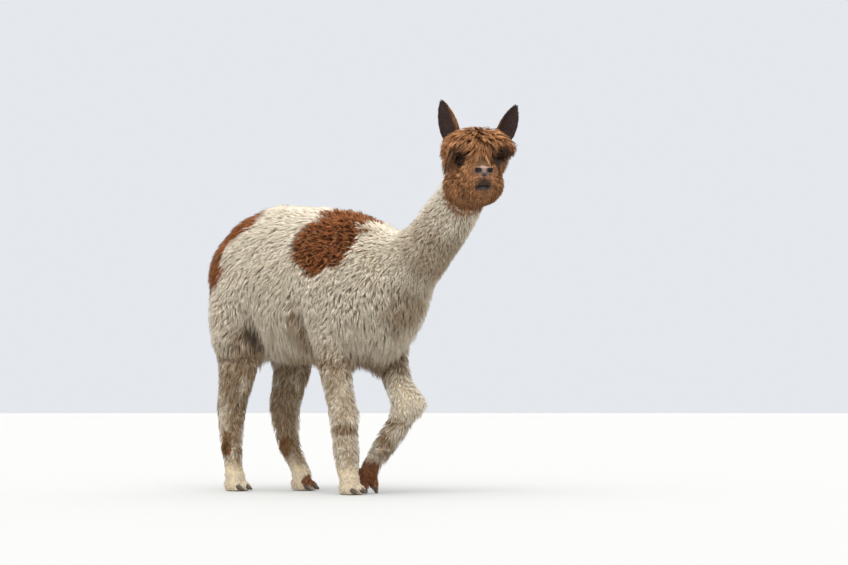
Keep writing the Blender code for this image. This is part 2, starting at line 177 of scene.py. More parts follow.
# The regions of the coat. Those from the topknot on are the head's.
TRUNK, NECK, TAIL, LEG, FOOT, TOPKNOT, NAPE, BEARD, CHEEK, FACE, EAR, BARE = range(12)
WOOL_LUMPS = {  # what the long wool of the head grows from
    TOPKNOT: ((-0.014, 0, 0.044), (0.064, 0.088, 0.038)),
    NAPE: ((-0.058, 0, -0.008), (0.046, 0.078, 0.068)),
    BEARD: ((-0.022, -0.007, -0.072), (0.074, 0.072, 0.056)),
}
COAT = {  # rings, hairs in a lock, width, reach for its depth, gathering, waves, unruliness in degrees
    TRUNK: (2, 4, 0.0026, 1.15, 0.44, 0.0034, 24),
    NECK: (2, 4, 0.0021, 1.0, 0.44, 0.0026, 26),
    TAIL: (3, 5, 0.0024, 2.0, 0.55, 0.0034, 18),
    LEG: (2, 4, 0.0022, 2.0, 0.5, 0.0024, 30),
    FOOT: (2, 4, 0.0013, 2.3, 0.35, 0.0004, 16),
    TOPKNOT: (3, 11, 0.0017, 2.2, 0.76, 0.0026, 12),
    NAPE: (3, 10, 0.0018, 1.3, 0.72, 0.003, 16),
    BEARD: (3, 9, 0.0014, 1.1, 0.66, 0.0034, 26),
    CHEEK: (3, 8, 0.0013, 1.4, 0.62, 0.0028, 26),
    FACE: (2, 4, 0.001, 2.6, 0.35, 0.0, 14),
    EAR: (2, 3, 0.0012, 4.4, 0.22, 0.0006, 12),
}
SHORT = {FACE: 0.0024, FOOT: 0.005, EAR: 0.0022}  # how high the short hair stands
LEAST = {CHEEK: 0.01}  # the least depth of the other wool, where it is more than 2 mm
DEEPEST = 0.04
HANG = {TRUNK: 0.034, LEG: 0.014}  # how far the wool of an underside hangs below the rest
CROWN = (-0.03, 0.004, 0.08)  # where the topknot's hair parts, in the head's frame
VIEW_TURN = -40  # degrees from straight ahead of the animal
VIEW_AWAY = 10.3
VIEW_UP = 0.3
VIEW_AIM = (0.35, 0.68)  # right of the animal's middle, and up

MADE = {}  # what one operator leaves for the next
norm = np.linalg.norm


# ---- places


def at(forward, left, up):
    return Vector((left, MIDDLE - forward, up))


def body_places(co):
    """Forward, left and up of every point of an array."""
    return np.stack([MIDDLE - co[:, 1], co[:, 0], co[:, 2]], 1)


def body_ways(ways):
    return np.stack([ways[:, 1], -ways[:, 0], ways[:, 2]], 1)


def head_frame():
    turn = Matrix.Rotation(math.radians(HEAD_TURN), 4, "Z")
    lift = Matrix.Rotation(math.radians(-HEAD_LIFT), 4, "X")
    return Matrix.Translation(at(*HEAD_AT)) @ turn @ lift


def head_places(co):
    """Forward, left and up in the head's frame of every point of an array."""
    inverse = np.array(head_frame().inverted())
    local = co @ inverse[:3, :3].T + inverse[:3, 3]
    return np.stack([-local[:, 1], local[:, 0], local[:, 2]], 1)


def head_ways(ways):
    """World directions of directions given forward, left and up in the head's frame."""
    return body_ways(ways) @ np.array(head_frame().to_3x3()).T


# ---- numbers


def unit(vectors):
    return vectors / np.maximum(norm(vectors, axis=-1, keepdims=True), 1e-9)


def dot(a, b):
    return np.sum(a * b, axis=-1, keepdims=True)


def ramp(low, high, value):
    """0 up to low and 1 from high, with a smooth rise between."""
    t = np.clip((value - low) / (high - low), 0, 1)
    return t * t * (3 - 2 * t)


def fade(low, high, value):
    """1 up to low and 0 from high, with a smooth fall between."""
    return 1 - ramp(low, high, value)


def wobble(co, size, seed):
    """A smooth random field of about -1 to 1 whose bumps are about this many metres across."""
    rng = np.random.default_rng(seed)
    total = np.zeros(len(co))
    for octave in range(3):
        for _ in range(4):
            wave = unit(rng.normal(size=3)) * 2 * math.pi / size * 1.9**octave
            total += np.sin(co @ wave + rng.uniform(0, 2 * math.pi)) * 0.6**octave
    return total / 3.6


def inside(places, lumps):
    """How far each place is inside the nearest of these ellipsoids: 1 is its surface, 0 its middle."""
    nearest = np.full(len(places), 9.0)
    for centre, half in lumps:
        offset = (places - np.array(centre)) / np.array(half)
        nearest = np.minimum(nearest, norm(offset, axis=1))
    return nearest


def off_pair(head, place, shape=(1, 1, 1)):
    """How far each place on the head is from this place or its mirror image, in metres across it."""
    forward, left, up = place
    return inside(head, [((forward, side * left, up), shape) for side in SIDES.values()])


def relief(co):
    """How far the folds and swells of the fleece move each point of the outside."""
    places = body_places(co)
    total = np.zeros(len(co))
    for top, bottom, depth, width in FOLDS:
        for side in SIDES.values():
            start = np.multiply(top, (1, side, 1))
            span = np.multiply(bottom, (1, side, 1)) - start
            t = np.clip((places - start) @ span / (span @ span), 0, 1)
            away = norm((places - start - t[:, None] * span) * (1, 0.45, 1), axis=1)
            total -= depth * ramp(0, 0.35, t) * np.exp(-((away / width) ** 2))
    other_side = [((x, -y, z), half, height) for (x, y, z), half, height in SWELLS]
    for centre, half, height in (*SWELLS, *other_side, *OWN_SWELLS):
        total += height * fade(0.55, 1.15, inside(places, [(centre, half)]))
    lumpy = 0.0015 + 0.0035 * ramp(0.38, 0.5, places[:, 2])
    lumpy *= fade(0.55, 0.7, places[:, 0])
    return total + lumpy * wobble(co, 0.13, 31)


def on_head(co, region):
    return (region >= TOPKNOT) & (co[:, 2] > 0.5)


def markings(co, region):
    """Brown, dirt with painted shade, and dark hair and skin with painted shade at every point, 0 to 1. The
    skin and the coat both use this.
    """
    places = body_places(co)
    along, _, high = places.T
    ragged = 0.13 * wobble(co, 0.07, 11) + 0.09 * wobble(co, 0.022, 12)
    brown = fade(0.94, 1.02, inside(places, PATCHES) + ragged)
    near = inside(places, STAINS_AND_SHADE) + 0.25 * wobble(co, 0.05, 13)
    low = (0.25 + 0.75 * ramp(0.26, 0.42, high)) * fade(0.5, 0.8, high)
    streaks = wobble(co * (1, 1, 0.4), 0.05, 16)
    on_legs = fade(0.4, 0.5, high) * ramp(0.05, 0.12, high)
    soiled = low * (0.18 + 0.16 * wobble(co, 0.045, 14))
    soiled += on_legs * (0.38 + 0.44 * fade(-0.1, 0.1, along)) * (1 + 0.9 * streaks)
    # the dirt mask is dirt on the legs and underside, and painted shade at the listed places under the
    # knees, in the flanks, under the thighs, behind the elbows and under the belly
    dirt_and_shade = np.clip(0.7 * fade(0.45, 1.35, near) + np.maximum(soiled, 0), 0, 1)
    dirt_and_shade *= ramp(0.8, 1.4, inside(places, CLEAN))
    crease = 0.8 * fade(0.5, 1.3, inside(places, CREASES) + 0.2 * wobble(co, 0.03, 15))
    head = head_places(co)
    forward, left, up = head.T
    middle = np.exp(-((left / 0.02) ** 2))
    lips = 0.82 * fade(0.5, 1.35, inside(head, [LIPS]))
    bridge = 0.9 * middle * ramp(0.01, 0.045, forward) * ramp(-0.07, -0.054, up)
    bridge *= fade(0.004, 0.024, up) * (region != TOPKNOT)
    # painted shade: the face and its hair are darkened round each eye, where the fringe shades them
    wide = np.where(left > 0, 1.25, 1.0)  # the dark is wider round the left eye
    eyes = off_pair(head, np.add(EYE_AT, (0.008, 0.008, 0)), (1, 1, 1.35)) / wide
    inner_edge = fade(0.04, 0.052, np.abs(left) - 0.36 * (up - 0.05))
    ear_dark = (region == EAR) * (1 - 0.6 * inner_edge)
    # painted shade: the cheeks and beard are darkened where the fringe shades them
    lower = 0.2 * ((region == CHEEK) | (region == BEARD))
    face = np.maximum.reduce([lips, 0.9 * fade(0.023, 0.037, eyes), 0.45 * bridge])
    at_head = on_head(co, region)
    dark = np.maximum.reduce([ear_dark, lower, face * at_head, crease * ~at_head])
    return np.where(at_head, 1.0, brown), np.where(at_head, bridge, dirt_and_shade), np.clip(dark, 0, 1)


# ---- objects


def deselect():
    for obj in bpy.context.selected_objects:
        obj.select_set(False)


def activate(*objects):
    """Selects these objects alone and makes the first one active."""
    deselect()
    for obj in objects:
        obj.select_set(True)
    bpy.context.view_layer.objects.active = objects[0]


def primitive(add, **settings):
    """Adds a primitive by its operator, with nothing else selected."""
    deselect()
    add(**settings)
    return bpy.context.active_object


def linked(name, data):
    """A new object in the scene."""
    obj = bpy.data.objects.new(name, data)
    bpy.context.scene.collection.objects.link(obj)
    return obj


def twin(node):
    """A copy of a CAD node with its loose triangles merged."""
    bm = bmesh.new()
    bm.from_mesh(bpy.data.objects[node].data)
    bmesh.ops.remove_doubles(bm, verts=bm.verts, dist=1e-5)
    mesh = bpy.data.meshes.new(node + "_twin")
    bm.to_mesh(mesh)
    bm.free()
    return linked(node + "_twin", mesh)


def joined(name, objects):
    activate(*objects)
    if len(objects) > 1:
        bpy.ops.object.join()
    obj = bpy.context.active_object
    obj.name = name
    obj.data.name = name
    return obj


def with_modifier(obj, kind, **settings):
    """Adds a modifier with these settings and applies it."""
    activate(obj)
    modifier = obj.modifiers.new(kind.lower(), kind)
    for key, value in settings.items():
        setattr(modifier, key, value)
    bpy.ops.object.modifier_apply(modifier=modifier.name)
    return obj


def remeshed(obj, voxel, smoothing):
    with_modifier(obj, "REMESH", mode="VOXEL", voxel_size=voxel, adaptivity=0)
    return with_modifier(obj, "SMOOTH", factor=0.5, iterations=smoothing)


def carved(obj, cutters, operation="DIFFERENCE"):
    """Cuts each cutter from obj, or adds it, and removes the cutters."""
    for cutter in cutters:
        with_modifier(obj, "BOOLEAN", operation=operation, object=cutter, solver="EXACT")
        bpy.data.objects.remove(cutter)
    return obj


def vertices(obj, field="co"):
    """Every point's place, or its normal."""
    out = np.empty(len(obj.data.vertices) * 3, np.float32)
    obj.data.vertices.foreach_get(field, out)
    return out.reshape(-1, 3).astype(float)


def set_vertices(obj, co):
    obj.data.vertices.foreach_set("co", co.astype(np.float32).ravel())
    obj.data.update()


def grown(obj, amount):
    """Moves every point outwards by an amount, one for all or one each."""
    amount = np.broadcast_to(amount, len(obj.data.vertices))
    set_vertices(obj, vertices(obj) + vertices(obj, "normal") * amount[:, None])
    return obj


def add_values(mesh, name, values):
    """Gives each point of a mesh a number, or three."""
    values = np.asarray(values, np.float32)
    kind, field = ("FLOAT", "value") if values.ndim == 1 else ("FLOAT_VECTOR", "vector")
    mesh.attributes.new(name, kind, "POINT").data.foreach_set(field, values.ravel())


def lump(centre, half, pitch=0.0, turn=0.0, roll=0.0):
    """An ellipsoid in the head's own frame, still at the world's origin. Angles are degrees."""
    forward, left, up = centre
    obj = primitive(
        bpy.ops.mesh.primitive_uv_sphere_add,
        segments=64,
        ring_count=32,
        radius=1,
        location=(left, -forward, up),
        rotation=(math.radians(-pitch), math.radians(roll), math.radians(turn)),
        scale=(half[1], half[0], half[2]),
    )
    bpy.ops.object.transform_apply()
    return obj


def settle(obj, slot, material, *nodes):
    """Gives a finished piece its material, hides the CAD nodes it stands for, and hangs it on the root
    body. The slot is not used.
    """
    obj.data.materials.clear()
    obj.data.materials.append(material)
    obj.data.polygons.foreach_set("use_smooth", np.ones(len(obj.data.polygons), bool))
    if nodes:
        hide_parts(*nodes)
    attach(obj, "root")
    return obj


# ---- skin


def eye_place(side):
    return Vector((side * EYE_AT[1], -EYE_AT[0], EYE_AT[2]))


def eye_gaze(side):
    """The way an eye looks, in the head's frame."""
    angle = math.radians(GAZE)
    return Vector((side * math.sin(angle), -math.cos(angle), 0.0)).normalized()


def eyelids(side):
    """A ring of lids around an eye, narrower than it is long."""
    gaze = eye_gaze(side)
    ring = primitive(
        bpy.ops.mesh.primitive_torus_add,
        major_radius=0.015,
        minor_radius=0.0037,
        major_segments=48,
        minor_segments=16,
        location=(0, 0, 0),
    )
    ring.data.transform(Matrix.Diagonal((1.0, 0.74, 1.2, 1)))
    turn = gaze.to_track_quat("Z", "Y").to_matrix().to_4x4()
    ring.data.transform(Matrix.Translation(eye_place(side) + gaze * 0.0116) @ turn)
    return ring


def ear(name):
    """A cupped leaf of skin, shaped from a flat grid, from inside the topknot to the ear's tip."""
    root, tip, facing = (Vector((left, -forward, up)) for forward, left, up in EARS[name])
    facing = facing.normalized()
    across = (tip - root).cross(facing).normalized()
    obj = primitive(bpy.ops.mesh.primitive_grid_add, x_subdivisions=24, y_subdivisions=48, size=2)
    obj.name = name
    stations = np.linspace(0, 1, len(EAR_WIDTHS))
    for vertex in obj.data.vertices:
        side, t = vertex.co.x, vertex.co.y * 0.56 + 0.42
        half = float(np.interp(t, stations, EAR_WIDTHS)) * 0.97
        angle = math.radians(EAR_CUP) * side
        back = half * (math.cos(angle) - 0.5) * 0.85
        middle = root.lerp(tip, t) + facing * 0.010 * math.sin(math.pi * max(0, t))
        rim = 0.0025 * (1 - abs(side)) * min(1, half / 0.02)
        vertex.co = middle + across * half * math.sin(angle) * 1.12 - facing * (back - 0.004 - rim)
    with_modifier(obj, "SMOOTH", factor=0.4, iterations=2)
    with_modifier(obj, "SOLIDIFY", thickness=0.0032, offset=0)
    obj.data.transform(head_frame())
    return obj


def make_head_skin(eye_radius):
    parts = [lump(*form) for form in (*HEAD_LUMPS, *WOOL_LUMPS.values())]
    for side in SIDES.values():
        for (forward, left, up), half, pitch, turn in PAIRED_LUMPS:
            parts.append(lump((forward, side * left, up), half, pitch, side * turn))
    head = remeshed(joined("head_skin", parts), 0.0027, 9)
    head = remeshed(joined("head_skin", [head, eyelids(1), eyelids(-1)]), 0.0026, 3)
    cuts = [lump((0.106, 0, MOUTH_UP), (0.036, 0.034, 0.0015))]  # mouth
    cuts.append(lump((0.1335, 0, -0.076), (0.0085, 0.0011, 0.0185)))  # split of the upper lip
    for side in SIDES.values():
        nostril = (NOSTRIL_AT[0], side * NOSTRIL_AT[1], NOSTRIL_AT[2])
        cuts.append(lump(nostril, (0.015, 0.0105, 0.0064), turn=side * 24, roll=-side * 30))
        groove = ((0.1325, side * 0.007, -0.059), (0.005, 0.0078, 0.0011))
        cuts.append(lump(*groove, roll=-side * 40))  # from the nostril to the split
        cuts.append(lump((EYE_AT[0], side * EYE_AT[1], EYE_AT[2]), (eye_radius + 0.0002,) * 3))
    carved(head, cuts)
    carved(head, [lump((0.088, 0, MOUTH_UP), (0.025, 0.017, 0.006))], "UNION")  # closes the mouth inside
    with_modifier(head, "SMOOTH", factor=0.4, iterations=1)
    head.data.transform(head_frame())
    return carved(head, [ear(name) for name in EARS], "UNION")


def skin_depth(co, sizes):
    """How far the skin lies inside the outer form at each point of the trunk, neck and legs."""
    places = body_places(co)
    forward, up = places[:, 0], places[:, 2]
    depth = sizes.leg_depth + (sizes.trunk_depth - sizes.leg_depth) * ramp(0.36, 0.52, up)
    along = (forward - 0.41) * 0.75 + (up - 0.72) * 0.66
    depth = depth + (sizes.neck_depth - depth) * ramp(-0.05, 0.05, along) * (up > 0.6)
    low = ramp(0.06, 0.125, up)
    return depth * low + 0.0035 * (1 - low)


def make_body_skin(sizes):
    body = joined("skin", [twin(node) for node in ("trunk", "neck") + LEGS + FEET])
    remeshed(grown(body, 0.0003), 0.008, 3)
    co = vertices(body)
    low = 0.003 * fade(0.09, 0.14, co[:, 2])
    grown(body, relief(co) - skin_depth(co, sizes) - low)
    parts = [body]
    for *place, radius in CORES:
        parts.append(primitive(bpy.ops.mesh.primitive_uv_sphere_add, radius=radius, location=at(*place)))
    return remeshed(joined("skin", parts), 0.0095, 3)


def make_feet_skin(sizes):
    feet = grown(joined("feet_skin", [twin(node) for node in LEGS + FEET]), 0.0003)
    activate(feet)
    bpy.ops.object.mode_set(mode="EDIT")
    bpy.ops.mesh.select_all(action="SELECT")
    bpy.ops.mesh.bisect(plane_co=(0, 0, FOOT_TOP), plane_no=(0, 0, 1), clear_outer=True, use_fill=True)
    bpy.ops.object.mode_set(mode="OBJECT")
    remeshed(feet, 0.0031, 2)
    co = vertices(feet)
    depth = skin_depth(co, sizes) - 0.002 * fade(0.05, 0.09, co[:, 2])
    return grown(feet, (relief(co) - depth) * ramp(0.001, 0.01, co[:, 2]))


def make_skin(sizes):
    """One skin for the whole animal."""
    skin = make_body_skin(sizes)
    carved(skin, [make_feet_skin(sizes), make_head_skin(sizes.eye_radius)], "UNION")
    with_modifier(skin, "WELD", merge_threshold=1e-5)  # closes slivers left by the joining
    skin.name = "skin"
    skin.data.name = "skin"
    return skin


def outer_hull():
    """A search tree of the outside of the coat, as the CAD nodes give it."""
    outer = joined("outer_form", [twin(node) for node in FLESH if node not in EARS])
    remeshed(grown(outer, 0.0003), 0.007, 3)
    grown(outer, relief(vertices(outer)))
    faces = [list(polygon.vertices) for polygon in outer.data.polygons]
    tree = BVHTree.FromPolygons([vertex.co for vertex in outer.data.vertices], faces)
    bpy.data.objects.remove(outer)
    return tree


def paint_skin(skin):
    """Gives the skin the coat's markings, and marks its bare places."""
    co = vertices(skin)
    head = head_places(co)
    forward, left, up = head.T
    across = np.abs(left)
    region = region_of(co)
    at_head = on_head(co, region)
    near_middle = fade(0.02, 0.028, across)
    lips = fade(0.006, 0.012, np.abs(up - MOUTH_UP - 0.002)) * ramp(0.078, 0.098, forward)
    split = fade(0.003, 0.01, across) * ramp(0.116, 0.125, forward) * ramp(-0.058, -0.066, up)
    nostril = off_pair(head, NOSTRIL_AT, NOSTRIL_SHAPE)
    pad = np.maximum(fade(0.009, 0.014, across), fade(0.012, 0.018, nostril))
    nose = pad * ramp(0.104, 0.116, forward) * ramp(-0.074, -0.064, up)
    # painted highlight: a pale band along the top of the nose, where it turns up to the light
    band = ramp(0.096, 0.106, forward) * ramp(-0.046, -0.04, up) * near_middle
    bare = np.maximum.reduce([lips * near_middle, split, fade(0.007, 0.012, nostril)])
    for name, values in zip(("brown", "dirt_and_shade", "dark"), markings(co, region)):
        add_values(skin.data, name, values)
    add_values(skin.data, "bare", bare * at_head)
    add_values(skin.data, "nose", np.maximum(nose, band) * at_head)
    add_values(skin.data, "pale", band * at_head)


# ---- coat


def nearest_nodes(co):
    """For each point, the place in FLESH of the nearest of those CAD nodes."""
    points, polygons, owner = [], [], []
    for index, name in enumerate(FLESH):
        mesh = bpy.data.objects[name].data
        start = len(points)
        points += [vertex.co for vertex in mesh.vertices]
        polygons += [[start + i for i in polygon.vertices] for polygon in mesh.polygons]
        owner += [index] * len(mesh.polygons)
    tree = BVHTree.FromPolygons(points, polygons)
    return np.array([owner[tree.find_nearest(Vector(place))[2]] for place in co])


def region_of(co):
    """Which region of the coat grows at each point."""
    node = nearest_nodes(co)
    region = np.array([TRUNK, NECK, FACE, TAIL] + [LEG] * 4 + [FOOT] * 4 + [EAR] * 2)[node]
    head = head_places(co)
    forward, left, up = head.T
    on_ear = region == EAR
    at_head = (node == FLESH.index("head")) | on_ear
    for kind in (BEARD, NAPE, TOPKNOT):
        mine = at_head & ~on_ear & (inside(head, [WOOL_LUMPS[kind]]) < 1.08) & (forward < 0.06)
        region = np.where(mine, kind, region)
    region = np.where(on_ear & (inside(head, [WOOL_LUMPS[TOPKNOT]]) < 1.06), TOPKNOT, region)
    beside = np.abs(left) - (0.025 + 0.10 * np.maximum(0.045 - forward, 0))
    beside -= 0.012 * ramp(-0.072, -0.05, up)  # the face is barer between eye and nose
    cheek = ((beside > 0) & (forward < 0.1)) | ((up < -0.104) & (forward < 0.078))
    region = np.where(cheek & (region == FACE), CHEEK, region)
    nostril = off_pair(head, NOSTRIL_AT, NOSTRIL_SHAPE)
    pad = (np.abs(left) < 0.01) | (nostril < 0.012) | (up > -0.05)
    nose = ((forward > 0.113) & (up > -0.066) & pad) | (nostril < 0.011)
    mouth = (forward > 0.088) & (np.abs(up - MOUTH_UP + 0.002) < 0.0075)
    eyes = off_pair(head, np.add(EYE_AT, (0.006, 0.009, 0)))
    bare = at_head & (nose | mouth | (eyes < 0.0205))
    return np.where(bare | (co[:, 2] < 0.006), BARE, region)


def lie(co, out, region):
    """The way the coat lies at each point, along the skin."""
    forward, left, up = body_places(co).T
    head = head_places(co)
    count = len(co)

    def same(way):
        return np.tile(np.array(way, float), (count, 1))

    down = same((0, 0, -1))
    back = same((0, 1, 0))
    high = ramp(0.62, 0.9, up)[:, None]
    drift = 0.30 * wobble(co, 0.22, 21) + 0.18 * wobble(co, 0.07, 22)
    crown = head - np.array(CROWN)
    spread = norm(crown[:, :2], axis=1, keepdims=True)
    sides = np.tanh(head[:, 1] / 0.01)
    part = np.stack([np.zeros(count), sides * 0.45, np.zeros(count)], 1)
    mop = np.concatenate([crown[:, :2] / np.maximum(spread, 0.03), -0.1 - spread * 9], 1) + part
    mop[:, :2] += 0.6 * np.stack([wobble(co, 0.05, 23), wobble(co, 0.05, 24)], 1)
    cheek = np.stack([np.full(count, -0.3), sides * 0.45, np.full(count, -1.0)], 1)
    hanging = ramp(0.08, 0.1, head[:, 0]) * ramp(-0.052, -0.066, head[:, 2])
    rise = (-0.25 - head[:, 2] * 3) * (1 - hanging) - hanging
    face = np.stack([0.9 * hanging - 1, np.sign(head[:, 1]) * (0.15 + 0.2 * hanging), rise], 1)
    lifted = (region == LEG) & (forward > 0.19) & (left > 0) & (up < 0.36)
    ways = [
        (region == NECK, body_ways(same((-0.6, 0, -0.53))) + down * 0.5),
        (region == TAIL, down + back * 0.35),
        (lifted, body_ways(same((-0.117, -0.044, -0.204)))),
        (lifted & (up > 0.245), body_ways(same((0.4, 0, -0.9)))),
        (region == FOOT, body_ways(same((0.75, 0, -0.75)))),
        (region == TOPKNOT, head_ways(mop)),
        (region == BEARD, head_ways(same((-0.25, 0, -1)))),
        (region == CHEEK, head_ways(cheek)),
        (region == NAPE, head_ways(same((-0.5, 0, -0.9)))),
        (region == FACE, head_ways(face)),
    ]
    for name, side in SIDES.items():
        root, tip, _ = (np.array(place, float) for place in EARS["ear_" + name])
        ways.append(((region == EAR) & (head[:, 1] * side > 0), head_ways(same(tip - root))))
    way = down + back * (0.12 + 0.55 * high + drift[:, None])
    for mine, own in ways:
        way = np.where(mine[:, None], own, way)
    way = unit(way)
    flat = way - out * dot(way, out)
    weak = norm(flat, axis=1, keepdims=True) < 0.08
    return unit(np.where(weak, back - out * dot(back, out), flat))


class Ground:
    """The skin as the coat's roots need it, worked out once."""

    def __init__(self, skin):
        mesh = skin.data
        mesh.calc_loop_triangles()
        corners = np.empty(len(mesh.loop_triangles) * 3, np.int32)
        mesh.loop_triangles.foreach_get("vertices", corners)
        self.corners = corners.reshape(-1, 3)
        self.co = vertices(skin)
        self.out = vertices(skin, "normal")
        a, b, c = (self.co[self.corners[:, k]] for k in range(3))
        self.area = norm(np.cross(b - a, c - a), axis=1) / 2
        self.centre = (a + b + c) / 3
        self.region = region_of(self.centre)
        self.hull = outer_hull()

    def roots(self, kind, count, rng, where):
        """Random roots on the skin's triangles of one region: their places and outward ways."""
        chosen = self.region == kind
        if where is not None:
            chosen &= where(body_places(self.centre))
        share = self.area * chosen
        pick = rng.choice(len(share), count, p=share / share.sum())
        u, v = rng.random(count), rng.random(count)
        over = u + v > 1
        u, v = np.where(over, 1 - u, u), np.where(over, 1 - v, v)
        mix = np.stack([1 - u - v, u, v], 1)[:, :, None]
        places = (self.co[self.corners[pick]] * mix).sum(1)
        return places, unit((self.out[self.corners[pick]] * mix).sum(1))

    def gap(self, points):
        """Nearest outward way on the outer form, and how far outside it each point is."""
        way = np.empty((len(points), 3))
        gap = np.empty(len(points))
        for i, point in enumerate(points):
            place, normal, _, _ = self.hull.find_nearest(Vector(point))
            way[i] = normal
            gap[i] = (point - np.array(place)) @ way[i]
        return way, gap


def locks_of(places, size, rng):
    """Groups roots into locks: for each root, the index of the root that leads its lock."""
    seeds = rng.choice(len(places), max(1, len(places) // size), replace=False)
    tree = kdtree.KDTree(len(seeds))
    for i in seeds:
        tree.insert(places[i], int(i))
    tree.balance()
    return np.array([tree.find(place)[1] for place in places])


def turned(ways, axes, degrees):
    """Each way turned about its axis, which stands square to it."""
    angle = np.radians(degrees)[:, None]
    return ways * np.cos(angle) + np.cross(axes, ways) * np.sin(angle)


def grow(name, kind, count, seed, where=None):
    """Grows one piece of the coat: hairs gathered in locks, as closed tapering prisms in one mesh."""
    ground = MADE["ground"]
    rng = np.random.default_rng(seed)
    root, out = ground.roots(kind, count, rng, where)
    rings, size, width, reach, gather, wave, unruly = COAT[kind]
    lead = locks_of(root, size, rng)
    of_lock = rng.random((count, 6))[lead]
    own = rng.random((count, 4))
    depth = np.full(count, SHORT.get(kind, 0.0))
    if kind not in SHORT:
        depth = np.clip(-ground.gap(root)[1], LEAST.get(kind, 0.002), DEEPEST)
    region = np.full(count, kind)
    way = lie(root, out, region)
    marks = markings(root + way * (depth * reach * 0.5)[:, None], region)
    saddle = marks[0] * (kind == TRUNK) * (root[:, 1] < MIDDLE)
    head = head_places(root)
    crown = head - np.array(CROWN)
    tousled = np.exp(-((norm(crown, axis=1) / 0.045) ** 2)) * (kind == TOPKNOT)
    swing = (of_lock[:, 0] - 0.5) * 2 * unruly * (1 + 1.9 * saddle + 10 * tousled)
    way = turned(way, out, swing + (own[:, 0] - 0.5) * unruly * 0.7)
    fringe = ramp(0.015, 0.06, crown[:, 0]) * (kind == TOPKNOT)
    longer = fringe * (0.46 * ramp(0.046, 0.07, np.abs(crown[:, 1])) - 0.14)
    longer += 0.9 * ramp(-0.098, -0.108, head[:, 2]) * (kind == FACE)  # the chin
    length = depth * reach * (0.75 + 0.45 * of_lock[:, 1]) * (1 - 0.35 * saddle + longer)
    side = np.cross(way, out)
    steps = np.linspace(0, 1, rings + 1)
    line = np.empty((count, rings + 1, 3))
    phase = of_lock[:, 2] * 2 * math.pi + own[:, 1] * 0.8
    for k, t in enumerate(steps):
        rise = depth * (1 - (1 - t) ** 1.7) * (0.82 + 0.2 * of_lock[:, 4]) - 0.001
        sway = wave * (0.5 + of_lock[:, 3]) * t * np.sin(phase + t * 5.2)
        line[:, k] = root + out * rise[:, None] + way * (length * t**1.25)[:, None] + side * sway[:, None]
    if kind not in SHORT:
        tip_way, tip_gap = ground.gap(line[:, -1])
        want = -depth * ((0.18 + 0.27 * saddle) * of_lock[:, 5] ** 1.5 + 0.10 * own[:, 2])
        want = np.maximum(want, LEAST.get(kind, 0.0) - depth)
        shift = np.clip(want - tip_gap, -0.03, 0.012)
        hang = HANG.get(kind, 0.0) * ramp(0.1, 0.7, -out[:, 2]) * (0.4 + 0.9 * of_lock[:, 3])
        hang *= 1 - 0.8 * ramp(0.34, 0.46, MIDDLE - root[:, 1])  # less under the chest
        for k, t in enumerate(steps):
            line[:, k] += tip_way * (shift * t**1.3)[:, None]
            line[:, k, 2] -= hang * t**1.3
    for k, t in enumerate(steps):
        pull = gather * t**1.4 * (0.85 + 0.3 * own[:, 3])
        line[:, k] += (line[lead, k] - line[:, k]) * pull[:, None]
    line[:, :, 2] = np.maximum(line[:, :, 2], 0.003)
    grain = np.stack([of_lock[:, 5], own[:, 0]], 1)
    return hairs(name, line, out, width, grain, marks, unwrap(kind, root))


def hairs(name, line, out, width, grain, marks, base):
    """Builds the mesh of a piece from the middle lines of its hairs."""
    count, rings = line.shape[0], line.shape[1] - 1
    side = unit(np.cross(np.gradient(line, axis=1), out[:, None, :]))
    up = unit(np.cross(side, np.gradient(line, axis=1)))
    per = rings * 3 + 1
    co = np.empty((count, per, 3))
    uv = np.empty((count, per, 2))
    for k in range(rings):
        w = width * (1 - 0.45 * k / (rings - 1))
        for j, (across, high) in enumerate(((-0.5, -0.15), (0.5, -0.15), (0.0, 0.4))):
            co[:, k * 3 + j] = line[:, k] + side[:, k] * across * w + up[:, k] * high * w
            uv[:, k * 3 + j] = base + np.array(((j - 1) * 0.0012, (k / rings - 0.5) * 0.0026))
    co[:, -1] = line[:, -1]
    uv[:, -1] = base + np.array((0.0, 0.0013))
    faces = [(0, 1, 2)]
    for k in range(0, rings * 3 - 3, 3):
        for j in range(3):
            n = (j + 1) % 3
            faces += [(k + n, k + j, k + 3 + n), (k + j, k + 3 + j, k + 3 + n)]
    last = (rings - 1) * 3
    faces += [(last + (j + 1) % 3, last + j, per - 1) for j in range(3)]
    corners = (np.array(faces)[None] + (np.arange(count) * per)[:, None, None]).reshape(-1)
    mesh = bpy.data.meshes.new(name)
    mesh.vertices.add(count * per)
    mesh.vertices.foreach_set("co", co.astype(np.float32).ravel())
    mesh.loops.add(len(corners))
    mesh.loops.foreach_set("vertex_index", corners.astype(np.int32))
    mesh.polygons.add(len(corners) // 3)
    mesh.polygons.foreach_set("loop_start", np.arange(0, len(corners), 3, dtype=np.int32))
    mesh.update(calc_edges=True)
    layer = mesh.uv_layers.new(name="OFBake")
    layer.data.foreach_set("uv", uv.reshape(-1, 2)[corners].astype(np.float32).ravel())
    values = np.empty((count, per, 3))
    values[:, :, :2] = grain[:, None, :]
    values[:, :, 2] = np.append(np.repeat(np.arange(rings) / rings, 3), 1.0)
    add_values(mesh, "grain", values.reshape(-1, 3))
    for key, value in zip(("brown", "dirt_and_shade", "dark"), marks):
        add_values(mesh, key, np.repeat(value, per))
    return linked(name, mesh)


